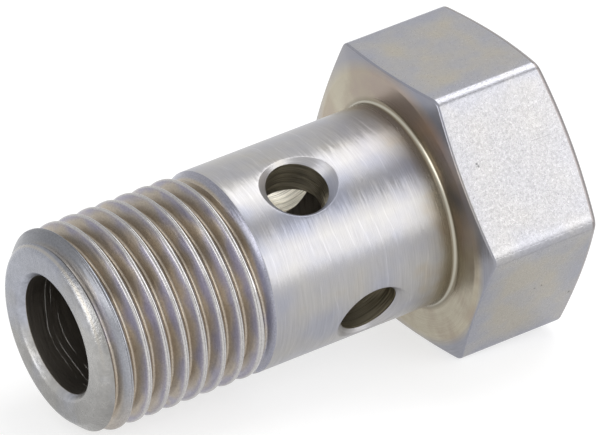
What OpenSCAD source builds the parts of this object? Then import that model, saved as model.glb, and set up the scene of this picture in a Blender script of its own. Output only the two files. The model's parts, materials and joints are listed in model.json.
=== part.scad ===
// Banjo bolt: a hollow bolt turned from hexagonal bar, lying as it rests on a flat surface.
// It is drawn standing on its axis, with z = 0 at the bearing face under the head,
// the head above and the tip below, and is then laid down by lie_at_rest().

/* [Head] */
// Width across the hexagon's flats
hex_af = 13.85; // [13:0.05:17]
// Height of the head
head_h = 6.35; // [4:0.05:9]
// How far the bar's corners are turned down
corner_cut = 0.09; // [0.02:0.005:0.3]
// How far inside the flats the bearing face under the head ends
seat_inset = 0.4; // [0.1:0.05:0.8]
// Slope of the bevel outside the bearing face, in degrees
seat_bevel = 11; // [5:1:30]
// How far inside the flats the end face of the head ends
end_inset = 0.45; // [0.1:0.05:2]
// Slope of the bevel outside the end face, in degrees
end_bevel = 14; // [5:1:30]
// Radius of the fillet between the shank and the bearing face
head_fillet = 0.25; // [0.15:0.05:0.7]

/* [Shank and thread] */
// Outer diameter of the thread, and of the plain shank
thread_d = 10; // [9.4:0.1:10.5]
// Pitch of the thread
thread_pitch = 1; // [0.75:0.05:1.25]
// Length of the bolt under the head
under_head_l = 19; // [17:0.5:40]
// Length of the plain shank, from the bearing face to its shoulder
shank_l = 9.9; // [9:0.1:12]
// Width of the flat bottom of the run-out groove below the shoulder
runout_w = 0.12; // [0.1:0.02:0.6]
// Length of the chamfer at the tip
tip_chamfer_l = 0.8; // [0.4:0.05:1.5]
// How much smaller than the thread's core the tip's flat face is, across
tip_relief = 0.27; // [0.1:0.01:1]

/* [Bore] */
// Diameter of the blind bore along the axis
bore_d = 5.8; // [4:0.1:6.4]
// How far below the bearing face the bore's full diameter ends
bore_end = 2.2; // [2:0.1:2.8]
// Included angle of the drill's point, in degrees
drill_point = 118; // [110:1:140]
// Width of the chamfer at the bore's mouth
mouth_chamfer_w = 0.25; // [0.1:0.05:0.5]
// Length of the chamfer at the bore's mouth
mouth_chamfer_l = 0.35; // [0.2:0.05:0.8]

/* [Cross holes] */
// Diameter of the cross holes
cross_d = 3; // [2:0.1:3.2]
// Width of the countersinks beyond the hole, along the shank's crest
countersink_w = 0.45; // [0.2:0.05:0.7]
// Included angle of the countersinks, in degrees
countersink_angle = 90; // [60:1:120]
// How far below the bearing face the first cross hole lies
cross_1_z = 6.5; // [6:0.1:6.8]
// How far below the bearing face the second cross hole lies
cross_2_z = 4.4; // [3.8:0.1:5]
// Angle from the hexagon's corner to the first cross hole, in degrees
cross_1_angle = -2.5; // [-30:0.5:30]
// Angle from the first cross hole to the second, in degrees
cross_2_angle = 92.5; // [60:0.5:120]

/* [Hidden] */
$fn = 96;
eps = 0.01;
corner_angle = 30;

thread_r = thread_d / 2;
seat_r = hex_af / 2 - seat_inset;
end_r = hex_af / 2 - end_inset;
corner_r = hex_af / 2 / cos(corner_angle) - corner_cut;

// Core of an ISO metric external thread, and the tip's face a little inside it
core_d = thread_d - 1.2268 * thread_pitch;
tip_r = (core_d - tip_relief) / 2;

// The run-out groove is as deep as the cutter leaves it, with a 45 degree shoulder on the
// shank's side and the thread's 30 degree flank on the other
thread_flank = 30;
runout_depth = 0.35 * thread_pitch;
runout_r = thread_r - runout_depth;
shoulder_z = -shank_l;
runout_top = shoulder_z - runout_depth;
runout_bottom = runout_top - runout_w;
thread_top = runout_bottom - runout_depth * tan(thread_flank);
tip_z = -under_head_l;
thread_bottom = tip_z + tip_chamfer_l;

// Where the two bevels meet the corners, and where the lower one meets the flats
seat_bevel_top = (corner_r - seat_r) * tan(seat_bevel);
end_bevel_bottom = head_h - (corner_r - end_r) * tan(end_bevel);
flat_bottom = (hex_af / 2 - seat_r) * tan(seat_bevel);

// At rest the bolt leans on one flat's lower edge and on the thread's last crest
rest_tilt = atan((hex_af / 2 - thread_r) / (flat_bottom - thread_bottom));
rest_lift = thread_r * cos(rest_tilt) - thread_bottom * sin(rest_tilt);
head_reach = head_h * cos(rest_tilt) + end_r * sin(rest_tilt);
tip_reach = -tip_z * cos(rest_tilt) + tip_r * sin(rest_tilt);

// Half of the turned section, from the tip's centre round to the head's centre
module turned_section() {
    polygon([
        [0, tip_z],
        [tip_r, tip_z],
        [thread_r, thread_bottom],
        [thread_r, thread_top],
        [runout_r, runout_bottom],
        [runout_r, runout_top],
        [thread_r, shoulder_z],
        [thread_r, 0],
        [seat_r, 0],
        [corner_r, seat_bevel_top],
        [corner_r, end_bevel_bottom],
        [end_r, head_h],
        [0, head_h]
    ]);
    translate([thread_r - eps, -head_fillet])
        difference() {
            square(head_fillet + eps);
            translate([head_fillet + eps, 0]) circle(r = head_fillet);
        }
}

// The bar has a flat towards +x, which is the side that the bolt lies on
module hex_bar() {
    translate([0, 0, tip_z - eps])
        rotate([0, 0, corner_angle])
            cylinder(d = hex_af / cos(corner_angle), h = under_head_l + head_h + 2 * eps, $fn = 6);
}

// Blind bore from the tip, with its chamfered mouth and the drill's point
module axial_bore() {
    bore_r = bore_d / 2;
    point_h = bore_r / tan(drill_point / 2);
    mouth_slope = mouth_chamfer_w / mouth_chamfer_l;
    rotate_extrude()
        polygon([
            [0, tip_z - eps],
            [bore_r + mouth_chamfer_w + eps * mouth_slope, tip_z - eps],
            [bore_r, tip_z + mouth_chamfer_l],
            [bore_r, -bore_end],
            [0, -bore_end + point_h]
        ]);
}

// A hole right through the shank, countersunk at both mouths
module cross_hole(depth_below_seat, turn) {
    sink_slope = tan(countersink_angle / 2);
    sink_h = countersink_w / sink_slope;
    over = 1;
    translate([0, 0, -depth_below_seat])
        rotate([0, 0, turn])
            rotate([0, 90, 0]) {
                cylinder(d = cross_d, h = thread_d + 2 * over, center = true);
                for (side = [0, 180])
                    rotate([side, 0, 0])
                        translate([0, 0, thread_r - sink_h])
                            cylinder(d1 = cross_d, h = sink_h + over,
                                     d2 = cross_d + 2 * (countersink_w + over * sink_slope));
            }
}

module lie_at_rest() {
    translate([(tip_reach - head_reach) / 2, 0, rest_lift])
        rotate([0, 90 - rest_tilt, 0])
            children();
}

module banjo_bolt() {
    color("silver")
        lie_at_rest()
            difference() {
                intersection() {
                    rotate_extrude() turned_section();
                    hex_bar();
                }
                axial_bore();
                cross_hole(cross_1_z, corner_angle + cross_1_angle);
                cross_hole(cross_2_z, corner_angle + cross_1_angle + cross_2_angle);
            }
}

banjo_bolt();
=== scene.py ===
"""A zinc-plated banjo bolt, lying at rest on its thread and one flat of its head."""

import json
import math

import bmesh
import bpy
import numpy as np
from mathutils import Matrix, Vector


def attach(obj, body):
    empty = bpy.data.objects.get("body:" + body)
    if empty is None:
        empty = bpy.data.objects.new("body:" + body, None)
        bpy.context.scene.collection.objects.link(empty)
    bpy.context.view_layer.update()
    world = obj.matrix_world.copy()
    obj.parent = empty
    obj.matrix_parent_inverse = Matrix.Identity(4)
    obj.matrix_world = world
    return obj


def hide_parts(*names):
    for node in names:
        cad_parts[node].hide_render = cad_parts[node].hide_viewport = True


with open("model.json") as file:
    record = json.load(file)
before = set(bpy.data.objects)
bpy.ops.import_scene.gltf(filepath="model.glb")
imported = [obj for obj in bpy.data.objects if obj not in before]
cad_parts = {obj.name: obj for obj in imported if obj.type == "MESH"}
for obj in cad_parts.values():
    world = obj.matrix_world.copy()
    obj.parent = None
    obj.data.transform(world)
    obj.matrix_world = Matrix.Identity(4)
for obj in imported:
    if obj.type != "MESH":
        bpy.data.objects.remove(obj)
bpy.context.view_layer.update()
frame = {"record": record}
NODE = "banjo_bolt"
MM = 0.001

# Sizes of the bolt, in millimetres. u runs along its axis, from 0 at the bearing face to the head.
HEX_AF = 13.85
HEAD_H = 6.35
CORNER_CUT = 0.09
SEAT_INSET = 0.4
SEAT_BEVEL = math.radians(11)
END_INSET = 0.45
END_BEVEL = math.radians(14)
HEAD_FILLET = 0.25
THREAD_R = 5.0
PITCH = 1.0
UNDER_HEAD = 19.0
SHANK_L = 9.9
RUNOUT_DEPTH = 0.35
RUNOUT_W = 0.12
FLANK = math.radians(30)
TIP_CHAMFER = 0.8
TIP_R = (2 * THREAD_R - 1.2268 * PITCH - 0.27) / 2
BORE_R = 2.9
BORE_END = 2.2
DRILL_POINT = math.radians(118)
MOUTH_W = 0.25
MOUTH_L = 0.35
CROSS_R = 1.5
SINK_W = 0.45
# Depth of each cross hole below the bearing face, and its angle about the axis from +y towards up
CROSS_HOLES = ((6.5, math.radians(117.5)), (4.4, math.radians(210)))

FLAT_R = HEX_AF / 2
SEAT_R = FLAT_R - SEAT_INSET
END_R = FLAT_R - END_INSET
CORNER_R = FLAT_R / math.cos(math.radians(30)) - CORNER_CUT
SHOULDER_U = -SHANK_L
RUNOUT_TOP = SHOULDER_U - RUNOUT_DEPTH
RUNOUT_BOTTOM = RUNOUT_TOP - RUNOUT_W
THREAD_TOP = RUNOUT_BOTTOM - RUNOUT_DEPTH * math.tan(FLANK)
TIP_U = -UNDER_HEAD
THREAD_BOTTOM = TIP_U + TIP_CHAMFER
RUNOUT_R = THREAD_R - RUNOUT_DEPTH

# Radii of the small rounding of the turned edges
EDGE_FINE = 0.03
EDGE = 0.06
EDGE_HEAD = 0.12
EDGE_END = 0.3
EDGE_CORNER = 0.05
EDGE_TIP = 0.4
EDGE_MOUTH = 0.3
EDGE_SINK = 0.07

# The bore's cutter flares out so far round the mouth's chamfer, this much clear of the tip
MOUTH_RIM = 0.3
MOUTH_LEAN = 0.02
# The cutter of a cross hole flares out so far round the countersink, this much clear of the shank
SINK_RIM = 0.3
SINK_CLEAR = 0.01

# Helical thread: half the groove's width at the crest, and the radii of its root and crest's edges
GROOVE_HALF = 0.42
ROOT_ROUND = 0.12
CREST_ROUND = 0.09
CREST_END = math.radians(25)
CREST_CLEAR = 0.03
ROOT_STEPS = 4
CREST_STEPS = 3
# Radii of the centre of the root's rounding and of the thread's core
ROOT_CENTRE_R = THREAD_R - GROOVE_HALF / math.tan(FLANK) + ROOT_ROUND / math.sin(FLANK)
THREAD_CORE = ROOT_CENTRE_R - ROOT_ROUND
# The groove starts so many pitches beyond the tip. At its end the groove's centre lies here at this
# angle, and from there on the tool backs out.
LEAD_IN = 0.7
LAST_GROOVE_U = -10.37
LAST_GROOVE_ANGLE = math.radians(150)
BACK_OUT_ANGLE = math.radians(180)
BACK_OUT = 0.65
# Seam that rolling leaves along the middle of the crest, up to so far past the groove's end
SEAM_HALF = 0.04
SEAM_DEPTH = 0.03
SEAM_TOP = 0.01
SEAM_PAST = math.radians(70)

# Density of the mesh: steps round the bolt, finer ones within so many degrees of a corner, and
# steps along it
TURN_STEP = math.radians(2)
CORNER_STEP = 0.2
CORNER_FINE = 2.4
ALONG_STEP = 0.25
HOLE_SEGMENTS = 96
BORE_SEGMENTS = 144
# Rounds in which the rim of a countersink settles on the shank, and how far the cutters run over
RIM_ROUNDS = 20
OVER = 1.0
# The cutters are turned a little, so that their edges never lie on those of the bolt
CUTTER_TURN = math.radians(1.03)
# Edges shorter than this are merged, and edges sharper than this aren't smoothed
TINY = 0.0004
SHARP_ANGLE = math.radians(28)


# The bolt's place in the frame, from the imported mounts

def bolt_matrix():
    """Takes points of the bolt, in millimetres along, across and up, to the frame in metres."""
    shank = next(m for m in frame["record"]["mounts"] if m["name"] == "shank")
    along = -Vector(shank["axis"]).normalized()
    across = Vector((0, 1, 0))
    up = along.cross(across)
    seat = Vector(shank["pos_m"]) + along * (SHANK_L + HEAD_FILLET) / 2 * MM
    turn = Matrix((along, across, up)).transposed().to_4x4()
    return Matrix.Translation(seat) @ turn @ Matrix.Scale(MM, 4)


BOLT = bolt_matrix()


# Outlines

def rounded(points):
    """Points of an outline from (u, r, radius, steps) corners. A radius of 0 keeps one sharp."""
    out = []
    for i, (u, r, radius, steps) in enumerate(points):
        here = Vector((u, r))
        if radius == 0:
            out.append(here)
            continue
        before = (Vector(points[i - 1][:2]) - here).normalized()
        after = (Vector(points[i + 1][:2]) - here).normalized()
        half = before.angle(after) / 2
        reach = radius / math.tan(half)
        centre = here + (before + after).normalized() * radius / math.sin(half)
        start = here + before * reach - centre
        end = here + after * reach - centre
        sweep = start.angle_signed(end)
        for k in range(steps + 1):
            turn = Matrix.Rotation(-sweep * k / steps, 2)
            out.append(centre + turn @ start)
    return out


def step_counts(points, step):
    """How many steps each straight run along the axis is cut into."""
    level = [abs(a[1] - b[1]) < 0.01 for a, b in zip(points, points[1:])]
    return [max(1, round(abs(b[0] - a[0]) / step)) if flat else 1
            for a, b, flat in zip(points, points[1:], level)]


def with_steps(points, counts):
    out = [points[0]]
    for a, b, count in zip(points, points[1:], counts):
        out += [a.lerp(b, k / count) for k in range(1, count + 1)]
    return out


def side_radius(angle):
    """Radius of the head's side at an angle: six flats, with the corners turned down and eased."""
    off_flat = (angle + math.radians(30)) % math.radians(60) - math.radians(30)
    flat = FLAT_R / math.cos(off_flat)
    return (flat + CORNER_R - math.hypot(flat - CORNER_R, EDGE_CORNER)) / 2


def outline(angle):
    """The outline at an angle about the axis, from the tip's centre to the head's."""
    side = side_radius(angle - math.radians(30))
    bevel_u = (side - SEAT_R) * math.tan(SEAT_BEVEL)
    end_u = HEAD_H - (side - END_R) * math.tan(END_BEVEL)
    corners = [
        (TIP_U, 0, 0, 0),
        (TIP_U, TIP_R, EDGE_TIP, 6),
        (THREAD_BOTTOM, THREAD_R, EDGE, 3),
        (THREAD_TOP, THREAD_R, EDGE_FINE, 2),
        (RUNOUT_BOTTOM, RUNOUT_R, EDGE_FINE, 2),
        (RUNOUT_TOP, RUNOUT_R, EDGE_FINE, 2),
        (SHOULDER_U, THREAD_R, EDGE_FINE, 3),
        (0, THREAD_R, HEAD_FILLET, 8),
        (0, SEAT_R, EDGE, 3),
        (bevel_u, side, EDGE_HEAD, 4),
        (end_u, side, EDGE_END, 5),
        (HEAD_H, END_R, EDGE_END, 4),
        (HEAD_H, 0, 0, 0),
    ]
    return rounded(corners)


def column_angles():
    """Even steps round the bolt, with finer ones at the head's six corners."""
    even = np.arange(0, 2 * math.pi, TURN_STEP)
    off_corner = np.abs((even + math.radians(30)) % math.radians(60) - math.radians(30))
    near = off_corner < math.radians(CORNER_FINE + CORNER_STEP / 2)
    corner = np.radians(np.arange(-CORNER_FINE, CORNER_FINE + CORNER_STEP / 2, CORNER_STEP))
    fine = np.concatenate([math.radians(60) * k + corner for k in range(6)]) % (2 * math.pi)
    return np.unique(np.round(np.concatenate([even[~near], fine]), 9))


# Meshes, made in millimetres in the bolt's own directions

def mesh_object(name, verts, faces):
    mesh = bpy.data.meshes.new(name)
    mesh.from_pydata([tuple(v) for v in verts], [], faces)
    mesh.validate()
    obj = bpy.data.objects.new(name, mesh)
    bpy.context.scene.collection.objects.link(obj)
    return obj


def polar(u, r, angle):
    return (u, r * math.cos(angle), r * math.sin(angle))


def lathe(name, columns, angles, place=None):
    """A closed skin from one outline for each angle. Each outline starts and ends on the axis."""
    rows = len(columns[0]) - 2
    count = len(angles)
    verts = [(columns[0][0][0], 0, 0)]
    for column, angle in zip(columns, angles):
        verts += [polar(p[0], p[1], angle) for p in column[1:-1]]
    verts.append((columns[0][-1][0], 0, 0))
    last = len(verts) - 1
    faces = []
    for j in range(count):
        a = 1 + j * rows
        b = 1 + (j + 1) % count * rows
        faces.append((0, b, a))
        faces += [(a + i, b + i, b + i + 1, a + i + 1) for i in range(rows - 1)]
        faces.append((a + rows - 1, b + rows - 1, last))
    obj = mesh_object(name, verts, faces)
    if place:
        obj.data.transform(place)
    return obj


def blank():
    angles = column_angles()
    counts = step_counts(outline(math.radians(30)), ALONG_STEP)
    return lathe("blank", [with_steps(outline(a), counts) for a in angles], angles)


def cutter_angles(segments):
    return [CUTTER_TURN + 2 * math.pi * k / segments for k in range(segments)]


def even_lathe(name, points, segments, step, place=None):
    column = with_steps(points, step_counts(points, step))
    return lathe(name, [column] * segments, cutter_angles(segments), place)


def bore_cutter():
    point = BORE_R / math.tan(DRILL_POINT / 2)
    corners = [
        (TIP_U - OVER, 0, 0, 0),
        (TIP_U - OVER, BORE_R + MOUTH_W + MOUTH_RIM, 0, 0),
        (TIP_U - MOUTH_LEAN, BORE_R + MOUTH_W + MOUTH_RIM, 0, 0),
        (TIP_U, BORE_R + MOUTH_W, EDGE_MOUTH, 5),
        (TIP_U + MOUTH_L, BORE_R, EDGE, 3),
        (-BORE_END, BORE_R, 0, 0),
        (-BORE_END + point, 0, 0, 0),
    ]
    return even_lathe("bore_cutter", rounded(corners), BORE_SEGMENTS, ALONG_STEP)


def shank_height(across):
    return math.sqrt(THREAD_R ** 2 - across ** 2)


def cross_outline(angle):
    """Outline of a cross hole's cutter, whose rim is eased where it meets the round shank."""
    sink = THREAD_R - SINK_W
    rim = CROSS_R + SINK_W
    for _ in range(RIM_ROUNDS):
        rim = CROSS_R + shank_height(rim * math.cos(angle)) - sink
    beyond = rim + SINK_RIM
    rim_u = shank_height(rim * math.cos(angle))
    beyond_u = shank_height(beyond * math.cos(angle)) + SINK_CLEAR
    top = THREAD_R + OVER
    side = [
        (sink, CROSS_R, 0, 0),
        (rim_u, rim, EDGE_SINK, 3),
        (beyond_u, beyond, 0, 0),
        (top, beyond, 0, 0),
    ]
    other = [(-u, r, radius, steps) for u, r, radius, steps in reversed(side)]
    return rounded([(-top, 0, 0, 0)] + other + side + [(top, 0, 0, 0)])


def cross_cutter(depth, angle):
    """A through drill with a 90 degree countersink at each mouth, placed on its axis."""
    outward = Vector(polar(0, 1, angle))
    along = Vector((1, 0, 0))
    place = Matrix((outward, outward.cross(along), along)).transposed().to_4x4()
    place.translation = Vector((-depth, 0, 0))
    angles = cutter_angles(HOLE_SEGMENTS)
    counts = step_counts(cross_outline(0.0), 2 * ALONG_STEP)
    columns = [with_steps(cross_outline(a), counts) for a in angles]
    return lathe("cross_cutter", columns, angles, place)


def groove_section():
    """Half of the groove's section, as (distance from its centre, radius), from the root out."""
    steep = math.pi / 2 - FLANK
    half = []
    for k in range(ROOT_STEPS + 1):
        a = steep * k / ROOT_STEPS
        half.append((ROOT_ROUND * math.sin(a), ROOT_CENTRE_R - ROOT_ROUND * math.cos(a)))
    crest_x = GROOVE_HALF + CREST_ROUND * math.tan(steep / 2)
    for k in range(CREST_STEPS + 1):
        a = steep + (CREST_END - steep) * k / CREST_STEPS
        drop = CREST_ROUND * (1 - math.cos(a))
        half.append((crest_x - CREST_ROUND * math.sin(a), THREAD_R - drop))
    x, r = half[-1]
    top = THREAD_R + CREST_CLEAR
    half.append((x + (top - r) / math.tan(CREST_END), top))
    return half


def helix_cutter(name, section, first, last, centre_u, back_out):
    """Sweeps a closed section, of (distance, radius) points, along a right-hand helix."""
    steps = math.ceil((last - first) / TURN_STEP)
    count = len(section)
    verts = []
    for k in range(steps + 1):
        angle = first + (last - first) * k / steps
        u = centre_u(angle)
        lift = back_out(angle)
        verts += [polar(u + x, r + lift, angle) for x, r in section]
    faces = [tuple(range(count)), tuple(reversed(range(steps * count, (steps + 1) * count)))]
    around = [(i, (i + 1) % count) for i in range(count)]
    for a in range(0, steps * count, count):
        b = a + count
        faces += [(a + i, b + i, b + j, a + j) for i, j in around]
    return mesh_object(name, verts, faces)


def groove_centre(angle):
    return LAST_GROOVE_U + (angle - LAST_GROOVE_ANGLE) / (2 * math.pi) * PITCH


def crest_centre(angle):
    return groove_centre(angle) - PITCH / 2


def groove_back_out(angle):
    return BACK_OUT * max(0.0, (angle - LAST_GROOVE_ANGLE) / BACK_OUT_ANGLE)


def thread_cutters():
    turns = (LAST_GROOVE_U - TIP_U) / PITCH + LEAD_IN
    start = CUTTER_TURN + LAST_GROOVE_ANGLE - turns * 2 * math.pi
    half = groove_section()
    section = [(-x, r) for x, r in reversed(half[1:])] + half
    groove = helix_cutter("groove_cutter", section, start, LAST_GROOVE_ANGLE + BACK_OUT_ANGLE,
                          groove_centre, groove_back_out)
    top = THREAD_R + SEAM_TOP
    seam = [(-SEAM_HALF, top), (0, THREAD_R - SEAM_DEPTH), (SEAM_HALF, top)]
    crest = helix_cutter("seam_cutter", seam, start, LAST_GROOVE_ANGLE + SEAM_PAST,
                         crest_centre, lambda angle: 0.0)
    return [groove, crest]


def cut(obj, cutter):
    """Cuts one closed mesh out of another and removes the cutter."""
    modifier = obj.modifiers.new("cut", "BOOLEAN")
    modifier.operation = "DIFFERENCE"
    modifier.solver = "MANIFOLD"
    modifier.object = cutter
    apply_modifiers(obj)
    bpy.data.objects.remove(cutter)


def apply_modifiers(obj):
    bpy.context.view_layer.update()
    evaluated = obj.evaluated_get(bpy.context.evaluated_depsgraph_get())
    result = bpy.data.meshes.new_from_object(evaluated)
    obj.modifiers.clear()
    old = obj.data
    obj.data = result
    bpy.data.meshes.remove(old)


def outward_normals(obj):
    bm = bmesh.new()
    bm.from_mesh(obj.data)
    bmesh.ops.recalc_face_normals(bm, faces=bm.faces)
    if bm.calc_volume(signed=True) < 0:
        bmesh.ops.reverse_faces(bm, faces=bm.faces)
    bm.to_mesh(obj.data)
    bm.free()


def merge_slivers(obj):
    bm = bmesh.new()
    bm.from_mesh(obj.data)
    bmesh.ops.dissolve_degenerate(bm, dist=TINY, edges=bm.edges)
    bm.to_mesh(obj.data)
    bm.free()


def build_bolt():
    bolt = blank()
    outward_normals(bolt)
    cutters = [bore_cutter()]
    cutters += [cross_cutter(depth, angle) for depth, angle in CROSS_HOLES]
    cutters += thread_cutters()
    for cutter in cutters:
        outward_normals(cutter)
        cut(bolt, cutter)
    merge_slivers(bolt)
    bolt.name = bolt.data.name = "bolt_finish"
    return bolt


# Regions of the surface, each with its own finish

TURNED, DRAWN, THREADED, DRILLED, BORED, TIP, SEAT = range(7)

# How far the normal of a flat may lean, and how far the flats reach in from their middle radius
FLAT_LEAN = 0.1
FLAT_DEPTH = 0.2
# How far a face's centre may be off its surface in the bore, near the shank and in a cross hole
SLACK = 0.02
SLACK_SHANK = 0.002
SLACK_HOLE = 0.01
# How far from its axis a countersink may reach
SINK_REACH = 2.3
# The tip's finish covers its face to this depth and its mouth to this width, and goes so far past
# its chamfer
FACE_DEPTH = 0.12
MOUTH_WIDTH = 0.5
TIP_PAST = 0.3


def hole_frame(depth, angle):
    """A cross hole's centre on the bolt's axis and its direction outwards."""
    return Vector((-depth, 0, 0)), Vector(polar(0, 1, angle))


def finish_of(centre, normal):
    """Which finish a face has, and the cross hole that it belongs to, if any."""
    u, radius = centre.x, math.hypot(centre.y, centre.z)
    if u > 0 and abs(normal.x) < FLAT_LEAN and radius > FLAT_R - FLAT_DEPTH:
        return DRAWN, None
    if radius < BORE_R + SLACK and normal.dot(Vector((0, centre.y, centre.z))) < 0:
        return BORED, None
    below_shank = u > SHOULDER_U and radius < THREAD_R - SLACK_SHANK
    for hole in CROSS_HOLES:
        middle, outward = hole_frame(*hole)
        place = centre - middle
        off = place - outward * place.dot(outward)
        if below_shank and off.length < SINK_REACH and normal.dot(off) < 0:
            return (DRILLED if off.length < CROSS_R + SLACK_HOLE else TURNED), hole
    chamfer_r = TIP_R + (u - TIP_U) * (THREAD_R - TIP_R) / TIP_CHAMFER
    on_chamfer = u < THREAD_BOTTOM and radius > chamfer_r - SLACK
    in_thread = TIP_U + FACE_DEPTH < u < SHOULDER_U - SLACK and radius > BORE_R + MOUTH_WIDTH
    if in_thread and not on_chamfer:
        return THREADED, None
    if u < THREAD_BOTTOM + TIP_PAST:
        return TIP, None
    return (SEAT if -HEAD_FILLET < u < HEAD_H / 2 else TURNED), None


def lines_of(kind, hole, place):
    """Direction of the machining lines at a place, and the place's distance across them."""
    if kind == DRAWN:
        return Vector((1, 0, 0)), place.y
    if hole:
        middle, outward = hole_frame(*hole)
        out = (place - middle).dot(outward)
        off = place - middle - outward * out
        return outward.cross(off).normalized(), abs(out) + off.length
    radius = math.hypot(place.y, place.z)
    around = Vector((0, -place.z, place.y)).normalized()
    return around, place.x if kind in (BORED, THREADED) else place.x - radius


def mark_finishes(obj):
    """Gives each face its finish, and keeps its place and machining lines for the materials."""
    mesh = obj.data
    places = np.zeros(len(mesh.vertices) * 3, np.float32)
    mesh.vertices.foreach_get("co", places)
    mesh.attributes.new("bolt_mm", "FLOAT_VECTOR", "POINT").data.foreach_set("vector", places)
    lines = np.zeros((len(mesh.loops), 3), np.float32)
    across = np.zeros(len(mesh.loops), np.float32)
    turn = BOLT.to_3x3().normalized()
    corners = [Vector(v.co) for v in mesh.vertices]
    vertex_of = [loop.vertex_index for loop in mesh.loops]
    for face in mesh.polygons:
        kind, hole = finish_of(face.center, face.normal)
        face.material_index = kind
        for loop in face.loop_indices:
            along, across[loop] = lines_of(kind, hole, corners[vertex_of[loop]])
            lines[loop] = turn @ along
    mesh.attributes.new("lines", "FLOAT_VECTOR", "CORNER").data.foreach_set("vector", lines.ravel())
    mesh.attributes.new("across_mm", "FLOAT", "CORNER").data.foreach_set("value", across)


# Finishes

BLUE = (0.335, 0.345, 0.405)
SILVER = (0.382, 0.376, 0.388)
GREY = (0.4, 0.39, 0.382)
STRAW = (0.385, 0.335, 0.26)
OLIVE = (0.2, 0.175, 0.125)
UMBER = (0.36, 0.295, 0.25)
TAN = (0.45, 0.41, 0.32)
RED_SHADE = (0.46, 0.33, 0.245)
NAVY = (0.15, 0.15, 0.18)
PALE = (0.5, 0.48, 0.41)
BEVEL = (0.3, 0.288, 0.285)
# Painted reflection on the seat's bevel, at its top and at its bottom
BLUE_BEVEL = (0.245, 0.25, 0.29)
LOW_BEVEL = (0.285, 0.29, 0.328)
BRONZE = (0.35, 0.302, 0.245)
SAND = (0.372, 0.331, 0.28)
VIOLET = (0.282, 0.268, 0.318)
PLAIN = (0.355, 0.347, 0.347)
FROST = (0.315, 0.325, 0.365)
ASH = (0.315, 0.31, 0.3)
STEEL = (0.305, 0.312, 0.338)
TAUPE = (0.27, 0.25, 0.25)
SLATE = (0.26, 0.265, 0.315)
# Near-white of the bore's scored rings, a painted glint
SCORED = (0.75, 0.73, 0.7)
LAVENDER = (0.318, 0.322, 0.36)
PALE_STRAW = (0.387, 0.361, 0.315)

# Drilled steel in the cross holes and in the bore; beyond the bore's middle, lighter as painted
# light that falls in through the holes; and where it is bright, on tool marks whose brightness is
# partly a painted glint
HOLE_STEEL = (0.32, 0.29, 0.22)
HOLE_FAR_LIT = (0.74, 0.71, 0.63)
HOLE_BRIGHT = (0.7, 0.62, 0.47)
BORE_STEEL = (0.2, 0.184, 0.165)
BORE_FAR_LIT = (0.23, 0.208, 0.18)
BORE_BRIGHT = (0.95, 0.92, 0.87)

# Angles about the axis, in degrees, of the two flats that the photograph shows, and of the top
UPPER_FLAT = 150
LOWER_FLAT = 210
TOP = 95

# Height of the tool marks, of the tip's mottle and of the flats' grain, in metres
TOOL_MARKS = 0.000006
MOTTLE = 0.00002
GRAIN = 0.00004

# Values that a noise mostly lies between, those of its calmer middle and those of wide streaks
USUAL = (0.3, 0.7)
MIDDLE = (0.35, 0.65)
WIDE = (0.25, 0.75)

# Bright rings in the bore near its mouth, by u, and how wide they are: real scored rings, whose
# near-white colour is a painted glint
BORE_RINGS = (-17.72, -17.4, -17.0)
RING_WIDTH = 0.035
# The rings that the tool's feed leaves on the shank; their brightening is partly a painted glint
FEED = 0.72
FEED_WIDTH = 0.045

# Patches of painted shade on the bearing face: their place, colour and strength. Each fades between
# the two reaches, and a noise, taken from a place so far off, makes it uneven.
PATCHES = (
    ((0, -3.87, 5.31), RED_SHADE, 0.8),
    ((0, -5.59, 2.56), NAVY, 0.9),
)
PATCH_REACH = (0.2, 1.5)
PATCH_SHIFT = (0, 3, 0)

# The fillet under the head: painted shade as an olive line outside it, by radius, and a painted
# highlight as a pale one inside it
OLIVE_R = (5.35, 5.15)
PALE_R = (5.13, 5.08)
PALE_U = (-0.16, -0.11)

# Radii on the tip: from its face to its chamfer, the rim between them, and into the bore's mouth
TO_CHAMFER_R = (4.35, 4.6)
TIP_RIM_R = 4.4
TO_MOUTH_R = (3.25, 3.1)

# The run-out's shoulder and the first turn of the thread are of another tint, by u
RUNOUT_TINT_U = (-10.22, -10.12)
FIRST_TURN_U = (-17.3, -17.9)

# Small pits in the plating of two flats
PITS = (
    (3.78, -6.11, -3.26),
    (3.39, -6.1, -3.28),
    (5.75, -5.29, -4.69),
    (6.19, -4.78, -5.56),
    (1.13, -5.66, 4.06),
    (1.17, -5.72, 3.94),
)
PIT_SIZE = 0.085

# A faint scratch on one flat
SCRATCH = ((4.21, -5.62, 4.11), (5.33, -5.64, 4.08))
SCRATCH_WIDTH = 0.03

# The flats turn bluish between these distances from their edges. At the ends the edge counts as
# so far inside.
EDGE_BAND = (0.1, 1.4)
END_STRIP = 0.2
# The strips along the turned-down corners, brightened as a painted highlight, fade out between
# these angles off a corner
CORNER_STRIP_FADE = (math.radians(1.45), math.radians(1.15))

# Painted highlight and shade across two corners: each one's angle, and (degrees past it, level)
# stops
CORNER_SHADES = (
    (120, (
        (-2.3, 1.0),
        (-1.7, 1.85),
        (-1.35, 1.85),
        (-1.1, 0.95),
        (0.1, 0.9),
        (0.8, 0.6),
        (1.1, 0.6),
        (1.7, 1.0),
    )),
    (180, (
        (-4.6, 1.0),
        (-3.0, 1.15),
        (-2.2, 1.05),
        (-1.6, 0.84),
        (-1.35, 0.72),
        (-1.1, 0.86),
        (-0.6, 0.95),
        (1.3, 0.85),
        (2.5, 0.98),
    )),
)
# The stops are spread over so many degrees to each side, and divided by the top level
CORNER_SPAN = 8.0
CORNER_REACH = math.sin(math.radians(CORNER_SPAN))
CORNER_TOP = 2.0


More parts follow.
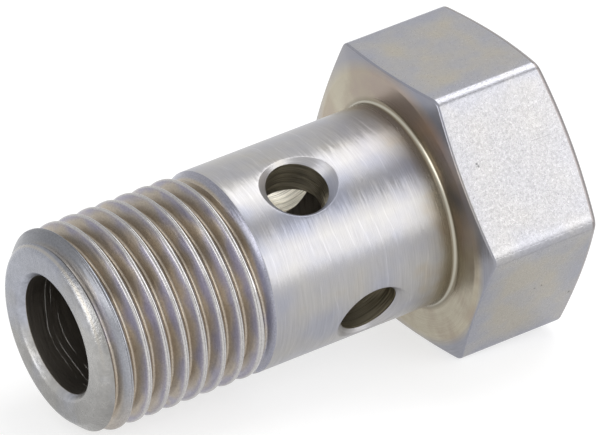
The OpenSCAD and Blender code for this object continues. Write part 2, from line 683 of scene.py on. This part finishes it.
class Finish:
    """A metal material and short ways to add nodes to it."""

    def __init__(self, name, roughness, anisotropic=0.0):
        self.material = bpy.data.materials.new(name)
        self.material.use_nodes = True
        self.tree = self.material.node_tree
        self.shader = self.tree.nodes["Principled BSDF"]
        self.set("Metallic", 1)
        self.set("Roughness", roughness)
        self.set("Anisotropic", anisotropic)
        self.place = self.attribute("bolt_mm", "Vector")

    def link(self, source, target):
        """Links an output to an input, or gives the input a plain value."""
        if hasattr(source, "is_linked"):
            self.tree.links.new(source, target)
        else:
            target.default_value = source

    def set(self, name, value):
        """Gives an input of the metal a value or links an output to it."""
        self.link(value, self.shader.inputs[name])

    def add(self, kind, output, *inputs, **settings):
        """Adds a node with its inputs and settings, and returns one of its outputs."""
        node = self.tree.nodes.new("ShaderNode" + kind)
        for key, value in settings.items():
            setattr(node, key, value)
        for socket, value in inputs:
            self.link(value, node.inputs[socket])
        return node.outputs[output]

    def attribute(self, name, output):
        return self.add("Attribute", output, attribute_name=name)

    # Numbers

    def math(self, operation, a, b=0.0, c=0.0):
        return self.add("Math", 0, (0, a), (1, b), (2, c), operation=operation)

    def times(self, a, b):
        return self.math("MULTIPLY", a, b)

    def plus(self, value, *parts):
        """The value with (part, amount) products added to it."""
        for part, amount in parts:
            value = self.math("MULTIPLY_ADD", part, amount, value)
        return value

    def off(self, value, middle):
        """How far a value is from a middle, on either side."""
        return self.math("ABSOLUTE", self.math("SUBTRACT", value, middle))

    def blend(self, factor, a, b):
        """A number between a and b."""
        return self.add("Mix", 0, (0, factor), (2, a), (3, b))

    def map_range(self, value, low, high, to_low=0.0, to_high=1.0):
        """Takes low to to_low and high to to_high, and stops at both."""
        return self.add("MapRange", 0, (0, value), (1, low), (2, high), (3, to_low), (4, to_high))

    def noise(self, vector, scale, detail=2.0, rough=0.5):
        return self.add("TexNoise", "Fac", ("Vector", vector), ("Scale", scale), ("Detail", detail),
                        ("Roughness", rough))

    # Vectors and places

    def vector(self, operation, a, b=(0, 0, 0)):
        return self.add("VectorMath", 0, (0, a), (1, b), operation=operation)

    def measure(self, operation, a, b=(0, 0, 0)):
        """A number from one or two vectors."""
        return self.add("VectorMath", "Value", (0, a), (1, b), operation=operation)

    def scaled(self, vector, factor):
        return self.add("VectorMath", 0, (0, vector), ("Scale", factor), operation="SCALE")

    def part(self, k):
        """One part of the place: u along the axis, or its distance across or up."""
        return self.add("SeparateXYZ", k, (0, self.place))

    def from_axis(self):
        """The vector from the bolt's axis to the place."""
        return self.vector("MULTIPLY", self.place, (0, 1, 1))

    def radius(self):
        return self.measure("LENGTH", self.from_axis())

    def facing(self, degrees):
        """1 on the side of the bolt at an angle about its axis, and -1 on the other side."""
        outwards = self.vector("NORMALIZE", self.from_axis())
        return self.measure("DOT_PRODUCT", outwards, polar(0, 1, math.radians(degrees)))

    def side(self, degrees, low, high, to_low=0.0, to_high=1.0):
        """Goes from to_low to to_high towards the side at an angle about the axis."""
        return self.map_range(self.facing(degrees), low, high, to_low, to_high)

    def stretched(self, fast, slow):
        """The place on the bolt, squeezed across the machining lines and drawn out along them."""
        across = self.attribute("across_mm", "Fac")
        row = self.add("CombineXYZ", 0, (0, self.times(across, fast)))
        return self.vector("ADD", self.scaled(self.place, slow), row)

    # Colours

    def mix(self, factor, a, b):
        """A colour between a and b."""
        a, b = ((*colour, 1) if isinstance(colour, tuple) else colour for colour in (a, b))
        return self.add("Mix", 2, (0, factor), (6, a), (7, b), data_type="RGBA")

    def ramp(self, value, stops):
        """A colour from a value through (position, colour) stops."""
        node = self.tree.nodes.new("ShaderNodeValToRGB")
        band = node.color_ramp
        while len(band.elements) < len(stops):
            band.elements.new(0.5)
        for element, (position, colour) in zip(band.elements, stops):
            element.position = position
            element.color = (*colour, 1)
        self.link(value, node.inputs[0])
        return node.outputs[0]

    def shaded(self, colour, mask, level):
        """The colour, times a level where the mask is 1."""
        return self.scaled(colour, self.map_range(mask, 0.0, 1.0, 1.0, level))

    def varied(self, colour, noise, amount, limits=USUAL):
        """The colour, darker and brighter by an amount as a noise goes."""
        return self.scaled(colour, self.map_range(noise, *limits, 1 - amount, 1 + amount))

    # Marks

    def spots(self, places, size):
        """1 inside small spots of uneven shape and 0 elsewhere."""
        uneven = self.map_range(self.noise(self.place, 12.0), *USUAL, -size / 2, size / 2)
        mask = 0.0
        for place in places:
            distance = self.math("ADD", self.measure("DISTANCE", self.place, place), uneven)
            mask = self.math("MAXIMUM", mask, self.map_range(distance, size / 2, size, 1.0, 0.0))
        return mask

    def scratch(self, start, end, width):
        """1 along a thin straight scratch and 0 elsewhere."""
        along = Vector(end) - Vector(start)
        from_start = self.vector("SUBTRACT", self.place, start)
        reached = self.measure("DOT_PRODUCT", from_start, tuple(along))
        nearest = self.scaled(tuple(along), self.map_range(reached, 0.0, along.length_squared))
        distance = self.measure("DISTANCE", from_start, nearest)
        return self.map_range(distance, width / 2, width, 1.0, 0.0)

    def rings(self, places, width):
        """1 on thin broken rings at places along the axis, and 0 elsewhere."""
        sway = self.map_range(self.noise(self.place, 0.5, 1.0), *USUAL, -0.1, 0.1)
        x = self.math("ADD", self.attribute("across_mm", "Fac"), sway)
        mask = 0.0
        for place in places:
            ring = self.map_range(self.off(x, place), width / 3, width / 2, 1.0, 0.0)
            mask = self.math("MAXIMUM", mask, ring)
        gaps = self.noise(self.vector("MULTIPLY", self.place, (4, 1, 1)), 0.8)
        return self.times(mask, self.map_range(gaps, 0.42, 0.56))

    def feed_lines(self, spacing, width):
        """Thin broken rings that the tool leaves at an even feed, 1 on a ring and 0 elsewhere."""
        drift = self.times(self.noise(self.place, 0.25), 1.5)
        phase = self.plus(drift, (self.attribute("across_mm", "Fac"), 1 / spacing))
        off = self.off(self.math("FRACT", phase), 0.5)
        ring = self.map_range(off, 0.0, width / spacing, 1.0, 0.0)
        return self.times(ring, self.map_range(self.noise(self.place, 0.7), 0.42, 0.58))

    # Relief

    def bump(self, height, distance, strength=1.0, *inputs):
        """Raises the surface as a height between 0 and 1 goes, by up to a distance in metres."""
        self.set("Normal", self.add("Bump", 0, ("Height", height), ("Distance", distance),
                                    ("Strength", strength), *inputs))

    def machined(self, streaks, sway, height):
        """Fine machining lines: they sway the normal along the lines and raise it across them."""
        normal = self.add("NewGeometry", "Normal")
        lines = self.attribute("lines", "Vector")
        side = self.scaled(lines, self.map_range(streaks, *USUAL, -sway, sway))
        tilted = self.vector("NORMALIZE", self.vector("ADD", normal, side))
        self.bump(streaks, height, 1.0, ("Normal", tilted))
        self.set("Tangent", self.vector("CROSS_PRODUCT", lines, normal))


def turned_finish():
    """Zinc over the turned shank: fine rings, with faint straw and blue clouds, and painted shade
    in a band on the lit side and near the head.
    """
    f = Finish("zinc_turned", 0.36, 0.65)
    streaks = f.noise(f.stretched(20.0, 0.7), 1.0, 4.0, 0.7)
    rings = f.feed_lines(FEED, FEED_WIDTH)
    f.machined(streaks, 0.07, TOOL_MARKS)
    clouds = f.noise(f.place, 0.5, 3.0)
    x = f.part(0)
    # Painted shade: a darker, bluer band on the side at 132 degrees, between the shank's two
    # highlights
    shade_band = f.side(132, 0.955, 1.0)
    shank = f.map_range(x, 1.0, 0.0)
    # Painted shade near the head, where the shank mirrors the seat: a shift towards straw
    near_head = f.times(f.map_range(x, -2.4, -0.3), f.math("SUBTRACT", shank, shade_band))
    value = f.map_range(clouds, *USUAL, 0.15, 0.7)
    value = f.plus(value, (near_head, 0.6), (shade_band, -0.3))
    colour = f.ramp(value, [(0.0, BLUE), (0.4, SILVER), (0.65, GREY), (1.0, STRAW)])
    # Painted shade: darker olive over the foot of the fillet
    olive = f.times(shank, f.map_range(x, -1.0, -0.3, 0.0, 0.8))
    colour = f.mix(olive, colour, OLIVE)
    # Painted shade: taupe on the top of the shank near the head
    top = f.times(f.map_range(x, -4.5, -1.5), f.times(shank, f.side(TOP, 0.8, 1.0)))
    colour = f.mix(f.times(top, 0.6), colour, TAUPE)
    colour = f.shaded(colour, shade_band, 0.8)
    head_end = f.map_range(f.radius(), END_R, END_R + 0.1)
    colour = f.mix(head_end, colour, TAUPE)
    colour = f.varied(colour, streaks, 0.14, WIDE)
    # The feed rings are real marks; their brightening is a painted glint
    colour = f.scaled(colour, f.plus(1.0, (rings, 0.16)))
    f.set("Base Color", colour)
    f.set("Roughness", f.map_range(x, -1.0, -0.25, 0.36, 0.22))
    return f.material


def seat_finish():
    """Zinc under the head: brown and straw with painted shade, a bevel bluish with painted
    reflection, and a pale painted highlight in the fillet.
    """
    f = Finish("zinc_seat", 0.22, 0.2)
    streaks = f.noise(f.stretched(20.0, 0.5), 1.0, 4.0, 0.7)
    f.machined(streaks, 0.05, TOOL_MARKS)
    clouds = f.map_range(f.noise(f.place, 0.6, 3.0), *USUAL)
    x = f.part(0)
    radius = f.radius()
    # The clouds are the plating's tint; the shift towards umber on the side at 120 degrees is
    # painted shade
    brown = f.math("ADD", f.side(120, 0.3, 0.95, -0.3, 0.5), clouds)
    colour = f.ramp(brown, [(0.0, TAN), (0.45, STRAW), (1.0, UMBER)])
    uneven = f.noise(f.vector("ADD", f.place, PATCH_SHIFT), 0.5, 1.0)
    uneven = f.map_range(uneven, *USUAL, -0.5, 0.5)
    # The painted shade patches lie only on the side towards the upper flat
    in_view = f.side(UPPER_FLAT, 0.2, 0.8)
    for place, tint, strength in PATCHES:
        distance = f.math("ADD", f.measure("DISTANCE", f.place, place), uneven)
        patch = f.map_range(distance, *PATCH_REACH, strength, 0.0)
        colour = f.mix(f.times(in_view, patch), colour, tint)
    # Painted shade: darker on the side at 75 degrees
    colour = f.scaled(colour, f.side(75, 0.7, 1.0, 1.0, 0.85))
    # The bevel, with painted reflection: darker and bluer at its top, bluer at its bottom
    bevel = f.mix(f.side(TOP, 0.6, 0.95), BEVEL, BLUE_BEVEL)
    low = f.side(215, 0.6, 0.9)
    bevel = f.mix(low, bevel, LOW_BEVEL)
    colour = f.mix(f.map_range(x, f.blend(low, 0.0, 0.05), 0.13), colour, bevel)
    # Painted shade: an olive line round the outside of the fillet
    colour = f.mix(f.map_range(radius, *OLIVE_R, 0.0, 0.8), colour, OLIVE)
    # Painted highlight: a pale line in the fillet
    fillet = f.times(f.map_range(x, *PALE_U), f.map_range(radius, *PALE_R))
    colour = f.mix(f.times(fillet, 0.7), colour, PALE)
    f.set("Base Color", f.varied(colour, streaks, 0.08, WIDE))
    return f.material


def tip_finish():
    """Zinc on the tip: a mottled grey, bluish in places, without turning lines, with painted shade
    at its top and bottom and painted highlights on its rim, its mouth and one side.
    """
    f = Finish("zinc_tip", 0.28)
    mottle = f.noise(f.place, 2.2, 4.0, 0.65)
    grain = f.noise(f.place, 7.0, 3.0, 0.7)
    clouds = f.noise(f.place, 0.35, 2.0)
    radius = f.radius()
    # The clouds are the plating's tint; the shift by side, bluer towards 30 degrees and greyer
    # towards the bottom, is painted reflection
    ashen = f.plus(clouds, (f.facing(30), -0.12), (f.side(285, 0.3, 0.9), 0.12))
    colour = f.mix(f.map_range(ashen, 0.4, 0.6), FROST, ASH)
    colour = f.varied(colour, mottle, 0.14)
    colour = f.varied(colour, grain, 0.05)
    # Painted shade: darker towards the bottom, and towards the top on the face and more so on the
    # chamfer
    colour = f.scaled(colour, f.side(280, 0.2, 0.9, 1.0, 0.9))
    face = f.side(TOP, 0.6, 0.95, 1.02, 0.88)
    chamfer = f.side(TOP, 0.2, 0.9, 0.9, 0.52)
    colour = f.scaled(colour, f.blend(f.map_range(radius, *TO_CHAMFER_R), face, chamfer))
    # Painted highlight on the side at 165 degrees
    colour = f.scaled(colour, f.side(165, 0.8, 0.98, 1.0, 1.16))
    # Painted highlight: a pale straw line along the top of the rim between face and chamfer
    rim = f.map_range(f.off(radius, TIP_RIM_R), 0.02, 0.08, 1.0, 0.0)
    rim = f.times(rim, f.side(105, 0.2, 0.7))
    colour = f.mix(f.times(rim, 0.6), colour, PALE_STRAW)
    # Painted highlight: the bore's mouth is brighter
    mouth = f.map_range(radius, *TO_MOUTH_R)
    f.set("Base Color", f.shaded(colour, mouth, 1.25))
    f.set("Roughness", f.blend(mouth, f.map_range(mottle, *MIDDLE, 0.15, 0.3), 0.34))
    f.bump(f.math("ADD", mottle, grain), MOTTLE)
    return f.material


def drawn_finish():
    """Zinc over the drawn flats: straw in the middle, bluish at the edges, over a fine grain, with
    painted highlights on the upper flat and its corners and painted shade on the lower flat.
    """
    f = Finish("zinc_drawn", 0.3)
    grain = f.noise(f.place, 7.0, 4.0, 0.7)
    clouds = f.noise(f.place, 0.5, 2.5, 0.5)
    x, y, w = (f.part(k) for k in range(3))
    upper = f.side(UPPER_FLAT, 0.8, 0.95)
    lower = f.side(LOWER_FLAT, 0.8, 0.95)
    off_corner = f.math("PINGPONG", f.math("ARCTAN2", w, y), math.radians(30))
    from_ends = f.math("SUBTRACT", HEAD_H / 2 - END_STRIP, f.off(x, HEAD_H / 2))
    from_edge = f.math("MINIMUM", from_ends, f.times(off_corner, FLAT_R))
    inside = f.map_range(from_edge, *EDGE_BAND, -0.45, 0.2)
    value = f.math("ADD", f.map_range(clouds, *MIDDLE, 0.1, 0.9), inside)
    # Painted light: the upper flat, facing the lamp, is less tinted, and the lower flat warmer
    value = f.plus(value, (f.times(upper, value), -0.5), (lower, 0.15))
    colour = f.ramp(value, [(0.0, LAVENDER), (0.5, PLAIN), (1.0, PALE_STRAW)])
    # Painted highlight: the upper flat is plainer
    colour = f.mix(f.times(upper, 0.6), colour, PLAIN)
    # Painted shade: the lower flat is a little darker
    colour = f.shaded(colour, lower, 0.975)
    fine = f.map_range(grain, *USUAL, 0.95, 1.04)
    # Painted shade towards the side at 190 degrees
    fine = f.times(f.side(190, 0.8, 1.0, 1.0, 0.93), fine)
    # The grain; on the upper flat it is brighter, as a painted highlight
    coarse = f.map_range(grain, *MIDDLE, 0.98, 1.27)
    colour = f.scaled(colour, f.blend(upper, fine, coarse))
    colour = f.shaded(colour, f.spots(PITS, PIT_SIZE), 0.45)
    # Painted highlight: the upper flat grows brighter towards the head's end
    right = f.times(upper, f.map_range(x, 3.5, 6.0))
    colour = f.scaled(colour, f.plus(1.0, (right, 0.06)))
    colour = f.shaded(colour, f.scratch(*SCRATCH, SCRATCH_WIDTH), 0.8)
    # Painted highlight: the strip along each turned-down corner is brighter, and smoother
    corner_strip = f.map_range(off_corner, *CORNER_STRIP_FADE)
    colour = f.scaled(colour, f.plus(1.0, (corner_strip, f.blend(upper, 0.25, 0.1))))
    # Painted highlight and shade across the two corners in view
    for angle, stops in CORNER_SHADES:
        past = f.side(angle + 90, -CORNER_REACH, CORNER_REACH)
        greys = [((degrees / CORNER_SPAN + 1) / 2, (level / CORNER_TOP,) * 3)
                 for degrees, level in stops]
        shade = f.times(f.ramp(past, greys), CORNER_TOP)
        colour = f.scaled(colour, f.blend(f.side(angle, 0.9, 0.95), 1.0, shade))
    f.set("Base Color", colour)
    rough = f.noise(f.place, 8.0, 3.0, 0.6)
    rough = f.blend(upper, f.map_range(rough, *MIDDLE, 0.27, 0.32),
                    f.map_range(rough, *MIDDLE, 0.21, 0.37))
    f.set("Roughness", f.blend(corner_strip, rough, 0.16))
    f.bump(grain, GRAIN, f.blend(upper, 0.5, 1.0))
    return f.material


def threaded_finish():
    """Zinc on the thread: bronze at the root and violet on the flank, with a painted highlight on
    the crest and painted shade and reflection by side.
    """
    f = Finish("zinc_thread", 0.3, 0.5)
    streaks = f.noise(f.stretched(12.0, 0.5), 1.0, 3.0, 0.6)
    f.machined(streaks, 0.08, TOOL_MARKS)
    grain = f.noise(f.place, 12.0, 3.0, 0.7)
    clouds = f.noise(f.place, 0.7, 1.5)
    x = f.part(0)
    crest = f.map_range(x, TIP_U, THREAD_BOTTOM, TIP_R, THREAD_R)
    depth = f.math("SUBTRACT", f.radius(), crest)
    depth = f.map_range(depth, THREAD_CORE - THREAD_R, 0.0)
    above = f.side(TOP, 0.6, 1.0)
    value = f.math("ADD", depth, f.map_range(clouds, *USUAL, -0.3, 0.3))
    # Painted reflection: warmer towards the top and cooler towards the upper flat's side
    value = f.plus(value, (f.facing(UPPER_FLAT), 0.1), (above, -0.25))
    colour = f.ramp(value, [(0.0, BRONZE), (0.35, SAND), (0.8, VIOLET)])
    # Painted highlight: a bright grey line along the crest, narrower at the top
    on_crest = f.map_range(depth, f.blend(above, 0.8, 0.88), 0.99)
    colour = f.mix(on_crest, colour, f.scaled(GREY, 1.1))
    colour = f.mix(f.map_range(x, *RUNOUT_TINT_U, 0.0, 0.85), colour, SLATE)
    first = f.times(f.map_range(x, *FIRST_TURN_U), f.map_range(depth, 0.2, 0.6))
    # On the first turn, painted reflection makes the steel tint sandy towards the bottom, and
    # painted shade darkens it towards the top
    steel = f.mix(f.side(270, 0.2, 0.9), STEEL, SAND)
    colour = f.mix(first, colour, f.scaled(steel, f.side(60, 0.2, 0.9, 0.88, 0.6)))
    # Painted shade: darker towards the top, brighter below
    colour = f.scaled(colour, f.side(110, 0.5, 1.0, 1.17, 0.88))
    colour = f.varied(colour, streaks, 0.08)
    f.set("Base Color", f.varied(colour, grain, 0.18))
    f.set("Roughness", f.map_range(depth, 0.7, 1.0, 0.32, 0.2))
    return f.material


def drilled_finish(name, steel, far, bright, contrast, fast, rings=()):
    """Drilled steel with rings of tool marks, lighter on the side away from the holes as painted
    light falling in through them. Its bright marks are real, brightened as a painted glint. `rings`
    has the places of the brightest ones.
    """
    f = Finish(name, 0.4, 0.3)
    streaks = f.noise(f.stretched(fast, 0.5), 1.0, 4.0, 0.65)
    f.machined(streaks, contrast * 0.7, 0.00003 * contrast)
    marks = f.map_range(f.noise(f.stretched(fast, 0.3), 0.5, 2.0), 0.63, 0.67)
    between = math.degrees(CROSS_HOLES[0][1] + CROSS_HOLES[1][1]) / 2
    # Painted light: lighter on the side away from the holes, where light falls in through them; the
    # bright tool marks are partly a painted glint
    colour = f.mix(f.side(between, -0.4, 0.2), far, f.mix(marks, steel, bright))
    colour = f.varied(colour, streaks, contrast)
    # Real scored rings, painted near-white as a glint
    scored = f.rings(rings, RING_WIDTH)
    f.set("Base Color", f.mix(scored, colour, SCORED))
    f.set("Roughness", f.blend(scored, 0.4, 0.65))
    return f.material


bolt = build_bolt()
bolt.data.materials.clear()
for material in (
    turned_finish(),
    drawn_finish(),
    threaded_finish(),
    drilled_finish("steel_drilled", HOLE_STEEL, HOLE_FAR_LIT, HOLE_BRIGHT, 0.55, 14.0),
    drilled_finish("steel_bored", BORE_STEEL, BORE_FAR_LIT, BORE_BRIGHT, 0.2, 9.0, BORE_RINGS),
    tip_finish(),
    seat_finish(),
):
    bolt.data.materials.append(material)
mark_finishes(bolt)
bolt.data.transform(BOLT)
for polygon in bolt.data.polygons:
    polygon.use_smooth = True
bolt.data.set_sharp_from_angle(angle=SHARP_ANGLE)
weighted = bolt.modifiers.new("weighted", "WEIGHTED_NORMAL")
weighted.keep_sharp = True
apply_modifiers(bolt)
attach(bolt, "root")
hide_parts(NODE)


# Camera, at the photograph's angle

VIEW_AZIMUTH = math.radians(-32.317)
VIEW_ELEVATION = math.radians(25.8)
VIEW_DISTANCE = 0.39282
VIEW_TARGET = Vector((0.000787, 0.0000176, 0.0075192))
LENS = 505.2
CLIP_START = 0.01
CLIP_END = 20


def make_camera():
    back = Vector((
        math.sin(VIEW_AZIMUTH) * math.cos(VIEW_ELEVATION),
        -math.cos(VIEW_AZIMUTH) * math.cos(VIEW_ELEVATION),
        math.sin(VIEW_ELEVATION),
    ))
    camera = bpy.data.objects.new("camera", bpy.data.cameras.new("camera"))
    camera.data.lens = LENS
    camera.data.clip_start = CLIP_START
    camera.data.clip_end = CLIP_END
    camera.location = VIEW_TARGET + back * VIEW_DISTANCE
    camera.rotation_euler = back.to_track_quat("Z", "Y").to_euler()
    bpy.context.scene.collection.objects.link(camera)
    bpy.context.scene.camera = camera


make_camera()


# Stage and light

WHITE = (1, 1, 1, 1)
# Light of the surroundings, and what the camera sees of them
SKY_LIGHT = 0.6
SKY_SEEN = 1.0
# The floor reaches so far each way. Its glow lifts it to near white.
FLOOR_REACH = 3.0
FLOOR_COLOUR = (0.45, 0.45, 0.45, 1)
FLOOR_GLOW = 0.66
# Square lamps that face the camera's target: name, direction towards the lamp, size and watts
LAMPS = (
    ("front", (0.43, -0.80, 0.42), 0.52, 1.5),
    ("above", (0.43, 0.12, 0.9), 0.42, 1.25),
    ("left", (-0.95, -0.1, 0.2), 0.36, 1.0),
)
LAMP_DISTANCE = 0.6


def white_for_view(tree, shaded, white):
    """Shows white to camera, glossy and transmission rays, and the shaded output to the rest."""
    path = tree.nodes.new("ShaderNodeLightPath")
    in_view = path.outputs["Is Camera Ray"]
    for ray in ("Is Glossy Ray", "Is Transmission Ray"):
        either = tree.nodes.new("ShaderNodeMath")
        either.operation = "MAXIMUM"
        tree.links.new(in_view, either.inputs[0])
        tree.links.new(path.outputs[ray], either.inputs[1])
        in_view = either.outputs[0]
    mix = tree.nodes.new("ShaderNodeMixShader")
    for source, target in zip((in_view, shaded, white), mix.inputs):
        tree.links.new(source, target)
    return mix.outputs[0]


def background(tree, strength):
    node = tree.nodes.new("ShaderNodeBackground")
    node.inputs["Color"].default_value = WHITE
    node.inputs["Strength"].default_value = strength
    return node.outputs[0]


def make_world():
    world = bpy.data.worlds.new("studio")
    bpy.context.scene.world = world
    world.use_nodes = True
    tree = world.node_tree
    tree.nodes.clear()
    sky = white_for_view(tree, background(tree, SKY_LIGHT), background(tree, SKY_SEEN))
    output = tree.nodes.new("ShaderNodeOutputWorld")
    tree.links.new(sky, output.inputs["Surface"])


def make_floor():
    corners = [(-1, -1, 0), (1, -1, 0), (1, 1, 0), (-1, 1, 0)]
    floor = mesh_object("floor", [Vector(c) * FLOOR_REACH for c in corners], [(0, 1, 2, 3)])
    material = bpy.data.materials.new("floor")
    material.use_nodes = True
    tree = material.node_tree
    tree.nodes.clear()
    matte = tree.nodes.new("ShaderNodeBsdfDiffuse")
    matte.inputs["Color"].default_value = FLOOR_COLOUR
    glow = tree.nodes.new("ShaderNodeEmission")
    glow.inputs["Strength"].default_value = FLOOR_GLOW
    both = tree.nodes.new("ShaderNodeAddShader")
    tree.links.new(matte.outputs[0], both.inputs[0])
    tree.links.new(glow.outputs[0], both.inputs[1])
    surface = white_for_view(tree, matte.outputs[0], both.outputs[0])
    output = tree.nodes.new("ShaderNodeOutputMaterial")
    tree.links.new(surface, output.inputs["Surface"])
    floor.data.materials.append(material)


def make_lamp(name, direction, size, watts):
    lamp = bpy.data.lights.new(name, "AREA")
    lamp.shape = "RECTANGLE"
    lamp.size = lamp.size_y = size
    lamp.energy = watts
    obj = bpy.data.objects.new(name, lamp)
    away = Vector(direction).normalized()
    obj.location = VIEW_TARGET + away * LAMP_DISTANCE
    obj.rotation_euler = away.to_track_quat("Z", "Y").to_euler()
    bpy.context.scene.collection.objects.link(obj)


make_world()
make_floor()
for lamp in LAMPS:
    make_lamp(*lamp)

view = bpy.context.scene.view_settings
view.view_transform = "Standard"
